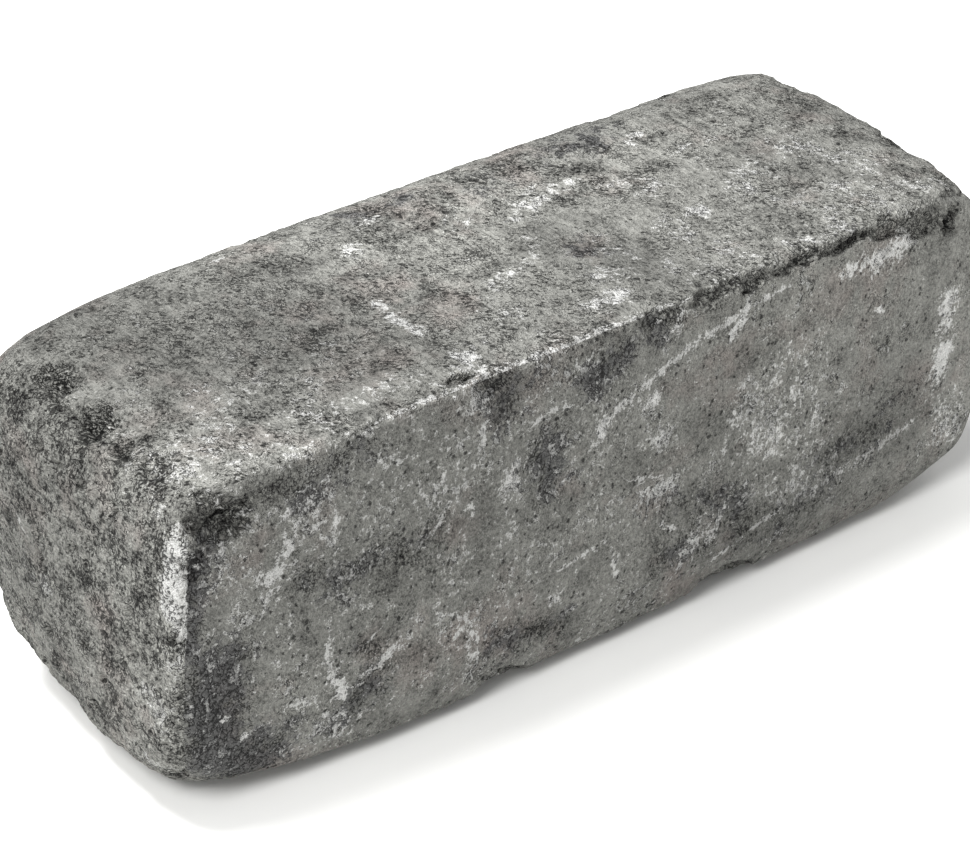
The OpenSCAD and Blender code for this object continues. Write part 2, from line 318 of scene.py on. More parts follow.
# Pale grains and patches, where lime has bloomed or blocks have rubbed: the side, the places in
# mm that each runs through, its half-width and its strength
BLOOMS = [
    ("face", [(-11, 76), (-10, 81)], 3.5, 1.6),
    ("face", [(94.6, 79), (95.4, 79)], 1.6, 3),
    ("face", [(-127.4, 26), (-126.6, 26)], 2.2, 2.6),
    ("face", [(-131.4, 34), (-130.6, 34)], 1.2, 2.6),
    ("face", [(36, 92), (40, 99)], 3.2, 1.6),
    ("face", [(5, 82), (9, 83)], 3, 1.2),
    ("face", [(5, 68), (12, 68)], 4, 0.9),
    ("face", [(12, 51), (18, 51)], 2.6, 1.3),
    ("face", [(80, 98), (94, 97), (106, 99)], 4, 1.4),
    ("face", [(58, 70), (66, 50), (68, 36)], 12, 0.3),
    ("face", [(44, 56), (60, 50)], 9, 0.5),
    ("face", [(68, 36), (68, 32)], 2.5, 0.9),
    ("face", [(38, 63), (39, 61)], 2.2, 0.9),
    ("face", [(127, 47), (129, 55)], 5, 2.2),
    ("face", [(127, 62), (128, 75)], 4.2, 1.4),
    ("face", [(130, 42), (132, 24)], 6, 0.5),
    ("face", [(-44, 76), (-41, 73)], 3.6, 1.3),
    ("face", [(-57, 71), (-54, 70)], 4, 0.8),
    ("face", [(-120, 74), (-114, 80)], 3.2, 1.7),
    ("face", [(-120, 78), (-100, 88)], 10, 0.05),
    ("face", [(-72, 84), (-54, 72)], 10, 0.05),
    ("face", [(-53, 91), (-53, 96)], 2.5, 1.3),
    ("face", [(-99, 34), (-96, 27)], 4, 1.5),
    ("face", [(-98, 24), (-94, 12)], 4.5, 0.5),
    ("face", [(-52, 30), (-51, 22)], 3, 1),
    ("face", [(-26, 30), (-22, 29)], 3, 0.6),
    ("face", [(-20, 102), (-10, 106)], 5, 0.4),
    ("face", [(12, 100), (15, 107)], 3, 1),
    ("face", [(-60, 102), (-53, 104)], 5, 0.5),
    ("top", [(-53, -10), (-53, -25)], 3.2, 1.2),
    ("top", [(-21, -18), (-10, -13), (0, -12), (4, -7)], 3.2, 0.6),
    ("top", [(-51, -42), (-52, -54)], 3.8, 0.9),
    ("top", [(-5, -43), (3, -43)], 5, 1.2),
    ("top", [(7, -31), (11, -34)], 4.5, 0.6),
    ("top", [(30, -46), (37, -51)], 4, 0.7),
    ("top", [(-134, -36), (-118, -38), (-102, -42), (-88, -46)], 13, 0.15),
    ("top", [(-98, -38), (-98, -48)], 3, 0.8),
    ("top", [(-42, 18), (-39, 20)], 3, 0.5),
    ("top", [(-30, 27), (-22, 27)], 4, 0.6),
    ("top", [(12, 8), (24, 12), (36, 13), (46, 6), (51, -3)], 5, 0.6),
    ("top", [(53, -19), (54, -21)], 3.2, 1),
    ("top", [(86, -8), (88, -11)], 3.5, 0.8),
    ("top", [(62, -46), (68, -51)], 4, 0.6),
    ("top", [(76, -48), (80, -48)], 3, 0.6),
    ("top", [(83, -29), (84, -28)], 2, 0.9),
    ("top", [(66, 21), (70, 24)], 2.5, 0.7),
    ("top", [(72, -12), (82, -44)], 4, 0.1),
    ("top", [(88, -12), (98, -42)], 4.5, 0.1),
    ("top", [(103, -8), (118, -42)], 5, 0.25),
    ("top", [(20, -20), (26, -52)], 2.5, 0.2),
    ("top", [(40, -22), (48, -50)], 3, 0.2),
    ("top", [(-30, -28), (-24, -54)], 3, 0.2),
    ("left", [(-47, 88), (-47, 72)], 6.5, 1.7),
    ("left", [(-49, 74), (-52, 56)], 4, 1.3),
    ("left", [(-53, 60), (-53, 8)], 2.5, 1),
    ("left", [(-45, 60), (-44, 14)], 8, 0.3),
    ("left", [(-40, 97), (-30, 100)], 5, 0.5),
    ("left", [(8, 48), (14, 48)], 4, 0.5),
]

# Broad paler parts in the same way
PALE_PARTS = [
    ("top", [(-40, 8), (0, 20), (60, 14)], 40, 0.9),
    ("top", [(60, -20), (110, -20)], 30, 0.15),
    ("top", [(-130, -38), (-90, -46)], 22, 0.4),
    ("face", [(58, 70), (62, 44)], 24, 0.5),
    ("face", [(134, 70), (136, 30)], 20, 0.8),
    ("face", [(60, 84), (110, 80)], 30, 0.3),
]

# Broad darker parts in the same way
DARK_PARTS = [
    ("face", [(-120, 70), (-40, 60)], 70, 0.6),
    ("face", [(-20, 60), (20, 50)], 60, 0.4),
    ("face", [(-34, 80), (-28, 68)], 16, 0.5),
    ("face", [(60, 24), (110, 38)], 20, 0.6),
    ("top", [(-125, 40), (-110, 0), (-80, -10)], 50, 1.1),
    ("top", [(8, -12), (22, -40)], 20, 0.7),
    ("left", [(10, 110), (10, 50)], 60, 0.7),
]

# Dark, granular patches in the same way
STAINS = [
    ("face", [(-135, 48), (-134, 24), (-122, 16)], 16, 1.5),
    ("face", [(-140, 96), (-141, 86)], 6, 0.6),
    ("face", [(-143, 84), (-143, 58)], 6, 1.3),
    ("face", [(-122, 99), (-108, 97), (-92, 102)], 8, 0.7),
    ("face", [(-106, 68), (-86, 64), (-72, 66)], 12, 0.45),
    ("face", [(-94, 20), (-86, 27)], 9, 1.1),
    ("face", [(-92, 42), (-88, 40)], 5, 0.7),
    ("face", [(-47, 98), (-45, 104)], 8, 1.1),
    ("face", [(-14, 96), (-8, 99)], 9, 1.1),
    ("face", [(2, 106), (6, 98)], 5, 0.8),
    ("face", [(-31, 80), (-29, 70)], 9, 0.8),
    ("face", [(-40, 22), (-16, 18)], 8, 0.8),
    ("face", [(16, 42), (38, 40)], 8, 0.5),
    ("face", [(42, 34), (48, 22)], 8, 0.8),
    ("face", [(18, 26), (26, 24)], 7, 0.7),
    ("face", [(78, 37), (100, 38)], 8, 0.5),
    ("face", [(60, 18), (80, 22)], 8, 0.4),
    ("top", [(-36, 30), (-8, 32)], 8, 0.5),
    ("top", [(10, 28), (60, 30)], 7, 0.4),
    ("top", [(8, -14), (20, -26)], 8, 0.4),
]

# Parts where the concrete is more open, in the same way
OPEN_PARTS = [
    ("left", [(-18, 22), (-18, 72), (-14, 104)], 9, 0.8),
    ("left", [(0, 104), (24, 100)], 8, 0.2),
    ("left", [(8, 58), (7, 56)], 4, 0.8),
    ("top", [(-24, 32), (8, 30), (40, 24)], 9, 0.6),
    ("top", [(-112, 0), (-60, -12)], 16, 0.3),
    ("top", [(12, 4), (36, 8), (50, -2)], 7, 0.5),
    ("top", [(76, -20), (96, -26)], 8, 0.5),
    ("face", [(-112, 66), (-70, 64)], 12, 0.5),
    ("face", [(-60, 102), (-20, 104), (30, 106)], 8, 0.6),
    ("face", [(-31, 84), (-30, 68)], 9, 0.5),
    ("face", [(14, 30), (60, 28)], 14, 0.4),
    ("face", [(-45, 20), (-10, 18)], 9, 0.4),
    ("face", [(80, 38), (110, 38)], 8, 0.3),
]

# Smears, where the open top was drawn smooth as it was struck off, in the same way
SMEARS = [
    ("top", [(16, -4), (36, -14)], 17, 1),
    ("top", [(8, -20), (22, -40)], 15, 0.8),
    ("top", [(-128, -10), (-108, -20)], 14, 0.4),
    ("top", [(60, -8), (110, -4)], 12, 0.6),
    ("top", [(100, -36), (118, -20)], 10, 0.6),
    ("top", [(-88, -40), (-62, -44)], 10, 0.7),
    ("top", [(60, 30), (110, 34)], 9, 0.6),
]

# Scratches at random: how many a long side has, the mean and the spread of their slopes in
# radians, and their least and greatest length and half-width in mm
SCATTER_COUNT = 8
SCATTER_SEED = 7
SCATTER_SLOPE = (0.7, 0.7)
SCATTER_LENGTH = (2, 8)
SCATTER_HALF_WIDTH = (0.5, 1.1)
# How far beside a scratch its share fades out, and how far one counts at all, in mm
SCRATCH_FADE = 3
FAR_OFF = 99


def side_places(points, cuboid, side):
    """Places of points along the two axes of a side, and whether they lie on that side."""
    axis, end, across = SIDES[side]
    return points[:, across], HALF[axis] - end * cuboid[:, axis] < ON_SIDE


def line_distances(places, line):
    """Distance of places from a line of points, in mm: for every stretch of the line, how far
    along the line its nearest place is, how far off it is, and how far off to the left."""
    gone = 0.0
    for start, end in zip(line[:-1], line[1:]):
        start, end = np.array(start, float), np.array(end, float)
        along = end - start
        length = np.linalg.norm(along)
        along /= length
        off = places - start
        run = np.clip(off @ along, 0, length)
        left = off @ np.array([-along[1], along[0]])
        yield gone + run, np.linalg.norm(off - run[:, None] * along, axis=1), left
        gone += length


def mark_strength(points, cuboid, marks):
    """Strength of the strongest mark at each point: its own strength times one less the
    distance from its line in half-widths, and never under -1."""
    strongest = np.full(len(points), -1.0)
    for side, line, half_width, strength in marks:
        places, on_side = side_places(points, cuboid, side)
        for _run, away, _left in line_distances(places, on_moulded(side, line)):
            value = np.where(on_side, strength * (1 - away / half_width), -1)
            strongest = np.maximum(strongest, value)
    return strongest


def on_moulded(side, line):
    """A line's places in mm, measured from the block's middle instead of its origin."""
    return np.array(line, float) - MIDDLE[list(SIDES[side][2])]


def scattered_scratches():
    """Small scratches at random places, most of them drawn upwards to the right.  A side's
    number of them goes by its length."""
    random = np.random.default_rng(SCATTER_SEED)
    scratches = []
    for side, (_axis, _end, across) in SIDES.items():
        reach = HALF[list(across)]
        for _number in range(int(SCATTER_COUNT * reach[0] / HALF[0])):
            start = random.uniform(-reach, reach) + MIDDLE[list(across)]
            angle = random.normal(*SCATTER_SLOPE)
            run = random.uniform(*SCATTER_LENGTH) * np.array([math.cos(angle), math.sin(angle)])
            scratches.append((side, [start, start + run], random.uniform(*SCATTER_HALF_WIDTH)))
    return scratches


def scratch_runs(points, cuboid, scratches):
    """Where points lie by the nearest scratch: mm along it, how far across it in half-widths,
    and a share that is 1 over it and fades to 0 beside it and at its ends."""
    runs = np.zeros((len(points), 3))
    nearest = np.full(len(points), float(FAR_OFF))
    for side, line, half_width in scratches:
        places, on_side = side_places(points, cuboid, side)
        line = on_moulded(side, line)
        length = np.linalg.norm(np.diff(line, axis=0), axis=1).sum()
        for run, away, left in line_distances(places, line):
            closer = on_side & (away < nearest)
            nearest = np.where(closer, away, nearest)
            fade = np.clip(1 - (away - half_width) / SCRATCH_FADE, 0, 1)
            fade *= 1 - (2 * run / length - 1) ** 4
            here = np.stack([run, np.sign(left) * away / half_width, fade], axis=1)
            runs = np.where(closer[:, None], here, runs)
    return runs


# ---- worn form


def side_gaps(points, sides):
    """Distances of points from the moulded sides that an edge or corner lies on, one column an
    axis, with 0 for the axis that an edge runs along."""
    sides = np.array(sides)
    return np.where(sides == 0, 0, HALF - sides * points)


def sag(points, axis, side):
    """How far a side is worn and knocked in under points: the sum over its edges of the wear
    times (1 - distance / reach) squared, and over its corners of the knock times
    (1 - (distance / reach) squared) squared, with the distances measured along the side."""
    others = [other for other in range(3) if other != axis]
    wander = sum(
        1 + np.sin(np.radians(points @ np.array(turn) + start)) for turn, start in WANDER_WAVES
    )
    wander = EDGE_WANDER * wander / 2 / len(WANDER_WAVES)
    total = np.zeros(len(points))
    for sides, depth in (WEAR | KNOCKS).items():
        if sides[axis] == side:
            away = np.linalg.norm(side_gaps(points, sides)[:, others], axis=1)
            if sides in WEAR:
                total += (depth + wander) * np.clip(1 - away / WEAR_REACH, 0, 1) ** 2
            else:
                total += depth * np.clip(1 - (away / KNOCK_REACH) ** 2, 0, 1) ** 2
    return total


def worn_depths(points):
    """How far the nearer side across each axis lies in: its sag, less its sag in its middle."""
    middle = np.zeros((1, 3))
    depths = np.zeros_like(points)
    for axis in range(3):
        for side in (-1, 1):
            near = points[:, axis] * side >= 0
            depth = sag(points[near], axis, side) - sag(middle, axis, side)
            depths[near, axis] = np.maximum(depth, 0)
    return depths


def worn_form(cuboid):
    """The block's form before it is roughened.  A ray leaves a core under the cuboid's sides for
    each point of the cuboid.  It ends where the worn sides would be, or on the rounding that
    joins them: where the lengths by which it passes the planes a radius inside those sides
    combine, as the root of their squares' sum, to that radius.  Returns the points and the rays'
    directions."""
    radius = np.full(len(cuboid), float(ARRIS_RADIUS))
    for sides in KNOCKS:
        extra = CHIPPED_RADIUS if sides == CHIPPED_CORNER else CORNER_RADIUS
        farthest = side_gaps(cuboid, sides).max(axis=1)
        radius += extra * np.clip(1 - (farthest / CORNER_RADIUS_REACH) ** 2, 0, 1) ** 2
    core = np.clip(cuboid, CORE_DEPTH - HALF, HALF - CORE_DEPTH)
    out = cuboid - core
    out /= np.linalg.norm(out, axis=1)[:, None]
    length = np.full(len(cuboid), float(CORE_DEPTH))
    for _turn in range(TURNS):
        points = core + length[:, None] * out
        over = np.abs(points) - HALF + worn_depths(points) + radius[:, None]
        outside = np.linalg.norm(np.maximum(over, 0), axis=1) + np.minimum(over.max(axis=1), 0)
        length -= TURN_SHARE * (outside - radius)
    return core + length[:, None] * out, out


def grid_lines(half, cell):
    """Places of the grid lines across a side: close together in a band along both edges, and a
    whole number of wider cells between the bands."""
    near = np.arange(0, ARRIS_BAND, ARRIS_CELL)
    inner = half - ARRIS_BAND
    middle = np.linspace(-inner, inner, max(2, round(2 * inner / cell)) + 1)
    return np.concatenate([near - half, middle, half - near[::-1]])


def block_grid(cell):
    """Points of the moulded cuboid on a grid, and the quads between them, wound to face
    outwards.  The grids of the six sides share their edge points."""
    lines = [grid_lines(half, cell) for half in HALF]
    counts = [len(line) - 1 for line in lines]
    places, quads, start = [], [], 0
    for axis in range(3):
        across, up = (axis + 1) % 3, (axis + 2) % 3
        i, j = np.mgrid[0 : counts[across] + 1, 0 : counts[up] + 1]
        for side in (0, 1):
            place = np.zeros((i.size, 3), int)
            place[:, across], place[:, up] = i.ravel(), j.ravel()
            place[:, axis] = side * counts[axis]
            spot = start + np.arange(i.size).reshape(i.shape)
            ring = [spot[:-1, :-1], spot[1:, :-1], spot[1:, 1:], spot[:-1, 1:]]
            if side == 0:
                ring.reverse()
            quads.append(np.stack([part.ravel() for part in ring], axis=1))
            places.append(place)
            start += i.size
    places, shared = np.unique(np.vstack(places), axis=0, return_inverse=True)
    points = np.stack([line[places[:, axis]] for axis, line in enumerate(lines)], axis=1)
    return points, shared.ravel()[np.vstack(quads)]


# ---- broken skin

# How open the concrete is, and how light, on the ends, on the face and back, and on the top and
# bed; the lightness is partly painted light, which makes the top and the ends lighter than the
# face.  They blend over a band along the arrises, whose width is in mm.
SIDE_OPENNESS = (1.7, 0.12, 0.85)
SIDE_TONES_AND_LIGHT = (1.15, 1.02, 1.2)
BLEND_WIDTH = 0.6
# The least and the most open that concrete gets, and how much noise, stains and smears change it
OPEN_RANGE = (0.05, 2)
OPEN_NOISE = 0.15
OPEN_STAINS = 0.7
SMEAR_EDGE = 1.5
SMEAR_CLOSES = 0.75
# How much the lightness changes at random, in the paler parts and in the darker parts
TONE_NOISE = 0.15
PALER = 0.3
DARKER = 0.4

# Depths in mm between which a spall's rim turns into broken skin, and a shallow spall into a deep
# one, and how broken a shallow one counts as.  Deeper spalls count as more broken, and the
# material paints them darker, partly as fresh breaks and partly as painted shade in the hollows.
SPALL_RIM = (0.05, 0.35)
SPALL_DEEPENS = (0.8, 3)
SHALLOW_BREAK = 0.4
# Shares of the lumps, crumbs and pits that closed concrete still has
CLOSED_LUMPS = 0.2
CLOSED_CRUMBS = 0.1
CLOSED_PITS = 0.05
# Pits: their cells' width in mm, their greatest radius and their rim in cells, and the share of
# the cells without one
PIT_CELL = 7.5
PIT_SEED = 4
PIT_RADIUS = 0.26
PIT_RIM = (-0.05, 0.08)
PITLESS = 0.3
# How far from an arris nicks and wobble reach, in mm
NICK_REACH = 4
WOBBLE_REACH = 3
# Noise from which a nick sets in, and noise at which a cleft between clods ends
NICK_RIM = (0.1, 0.3)
CLEFT_END = 0.3

# Marks at random: how much their noise counts, what is added to it, and what more on the sides
# that have none listed, which are the right end, the back and the bed
RANDOM_BLOOM = (2.6, -1.5, 0.6)
RANDOM_STAIN = (1.5, -1.1, 0.35)
UNLISTED_SIDES = (1, 1, -1)
UNLISTED_RIM = (0.92, 1)


def edge_closeness(cuboid, reach):
    """1 on the arrises, falling to 0 a reach away from them: one less the second smallest of a
    point's distances from the sides, over the reach."""
    gaps = np.sort(HALF - np.abs(cuboid), axis=1)
    return np.clip(1 - gaps[:, 1] / reach, 0, 1)


def side_blend(cuboid, values):
    """Values that the ends, the face and back, and the top and bed have, blended along the
    arrises: each counts by the exponential of less its side's distance over the blend's width."""
    shares = np.exp(-(HALF - np.abs(cuboid)) / BLEND_WIDTH)
    return (shares @ np.array(values)) / shares.sum(axis=1)


def openness(points, cuboid, stain):
    """How open and granular the concrete is at each point.  The struck top, the bed and the ends
    are open.  The face and the back, which lay against the mould, are close, but less so where
    they are stained.  Smears close the top."""
    smear = np.clip(SMEAR_EDGE * mark_strength(points, cuboid, SMEARS), 0, 1)
    is_open = side_blend(cuboid, SIDE_OPENNESS) + OPEN_NOISE * rough_noise(points, *OPEN_PLACES)
    is_open += OPEN_STAINS * np.clip(stain, 0, 1) * side_blend(cuboid, (0, 1, 0))
    is_open += np.clip(mark_strength(points, cuboid, OPEN_PARTS), 0, 1)
    return np.clip(is_open - SMEAR_CLOSES * smear, *OPEN_RANGE)


def tone_and_side_light(points, cuboid):
    """How light the skin is painted at each point: by its side, where the top and the ends are
    painted lighter than the face as painted light, at random, and in broad parts.
    """
    paler = np.clip(mark_strength(points, cuboid, PALE_PARTS), 0, 1)
    darker = np.clip(mark_strength(points, cuboid, DARK_PARTS), 0, 1)
    tone = side_blend(cuboid, SIDE_TONES_AND_LIGHT) * (1 + TONE_NOISE * rough_noise(points, *TONES))
    return tone * (1 + PALER * paler) * (1 - DARKER * darker)


def random_marks(points, cuboid, places, weight, start, more):
    """Strength of marks at random: a noise times its weight, plus a start, plus more on the
    sides that have no marks listed."""
    unlisted = ramp((cuboid / HALF * np.array(UNLISTED_SIDES)).max(axis=1), *UNLISTED_RIM)
    return weight * rough_noise(points, *places) + start + more * unlisted


def spall_depths(points):
    """Depth of the deepest spall at each point, in mm, with ragged rims: each spall is a bowl,
    its depth times one less the square of the distance from its middle in half-widths, at a
    point shifted by noise."""
    shifted = noise_shift(points, *SPALL_SHIFT)
    deepest = np.zeros(len(points))
    for corner, inset, widths, depth in SPALLS:
        middle = np.array(corner) * (HALF - np.array(inset))
        off = (shifted - middle) / np.array(widths)
        deepest = np.maximum(deepest, depth * np.clip(1 - (off**2).sum(axis=1), 0, 1))
    return deepest


def open_share(rough, closed):
    """A share that closed concrete still has, rising to 1 in rough concrete."""
    return closed + (1 - closed) * rough


def skin_relief(points, cuboid, is_open, settings):
    """Depth of the skin under the worn form at each point, in mm, and how broken it is, 0 to 1.
    It is the sum of the spalls, shallow waves, lumps and crumbs where the concrete is open or
    broken, clefts between clods where it is broken, round pits, nicks in the arrises and their
    wobble."""
    spall = spall_depths(points)
    broken = ramp(spall, *SPALL_RIM) * open_share(ramp(spall, *SPALL_DEEPENS), SHALLOW_BREAK)
    rough = np.maximum(is_open, np.minimum(broken / SHALLOW_BREAK, 1))
    gap, number = cell_noise(noise_shift(points, *PIT_SHIFT), PIT_CELL, PIT_SEED)
    pits = ramp(PIT_RADIUS * number - gap, *PIT_RIM) * (number > PITLESS)
    clefts = ramp(np.abs(rough_noise(points, *CLODS)), CLEFT_END, 0)
    nicks = edge_closeness(cuboid, NICK_REACH) * ramp(rough_noise(points, *NICKS), *NICK_RIM)
    wobble = edge_closeness(cuboid, WOBBLE_REACH) * noise_depth(points, *WOBBLES)
    crumbs = noise_depth(points, settings.crumb_depth, *CRUMBS)
    depth = spall + noise_depth(points, *WAVES)
    depth += noise_depth(points, *LUMPS) * open_share(rough, CLOSED_LUMPS)
    depth += crumbs * open_share(rough, CLOSED_CRUMBS)
    depth += settings.clod_depth * clefts * broken
    depth += settings.pit_depth * pits * open_share(rough, CLOSED_PITS)
    depth += settings.arris_bite_depth * nicks + wobble
    return depth, broken


def block_skin(settings):
    """The finished skin: points in mm about the block's middle, quads, and VALUE_NAMES' values
    at each point."""
    cuboid, quads = block_grid(settings.cell)
    form, out = worn_form(cuboid)
    warped = noise_shift(form, *MARK_SHIFT)
    stain = mark_strength(warped, cuboid, STAINS)
    bloom = mark_strength(warped, cuboid, BLOOMS)
    random_stain = random_marks(form, cuboid, STAIN_PLACES, *RANDOM_STAIN)
    random_bloom = random_marks(form, cuboid, BLOOM_PLACES, *RANDOM_BLOOM)
    is_open = openness(warped, cuboid, stain)
    depth, broken = skin_relief(form, cuboid, is_open, settings)
    points = np.clip(form - depth[:, None] * out, BLOCK_LOW - MIDDLE, BLOCK_HIGH - MIDDLE)
    values = {
        "open": is_open,
        "broken": broken,
        # Lightness, with painted light that makes the top and the ends lighter than the face
        "tone": tone_and_side_light(form, cuboid),
        "bloom": np.maximum(bloom, random_bloom - np.clip(stain, 0, 1)),
        "stain": np.maximum(stain, random_stain),
        "scratch": scratch_runs(form, cuboid, SCRATCHES_AND_ARRIS_HIGHLIGHT + scattered_scratches()),
    }
    return points, quads, values


# ---- material


def linear(colour):
    """An sRGB hex colour as linear red, green and blue."""
    parts = [int(colour[i : i + 2], 16) / 255 for i in (1, 3, 5)]
    return [c / 12.92 if c <= 0.04045 else ((c + 0.055) / 1.055) ** 2.4 for c in parts]


def node(tree, name, kind, settings, links):
    """Adds one shader node under a name of its own.  settings are its own values, or the plain
    values of its inputs.  links join its inputs to other nodes, each given as the node's name
    for its first output, or as "name.output"."""
    made = tree.nodes.new("ShaderNode" + kind)
    made.name = name
    for key, value in settings.items():
        if isinstance(key, str) and hasattr(made, key):
            setattr(made, key, value)
        else:
            made.inputs[key].default_value = value
    for key, source in links.items():
        source, _dot, output = source.partition(".")
        output = output or "0"
        output = int(output) if output.isdigit() else output
        tree.links.new(tree.nodes[source].outputs[output], made.inputs[key])


# What the mesh says at each point
VALUE_NAMES = ("open", "broken", "tone", "bloom", "stain", "scratch")


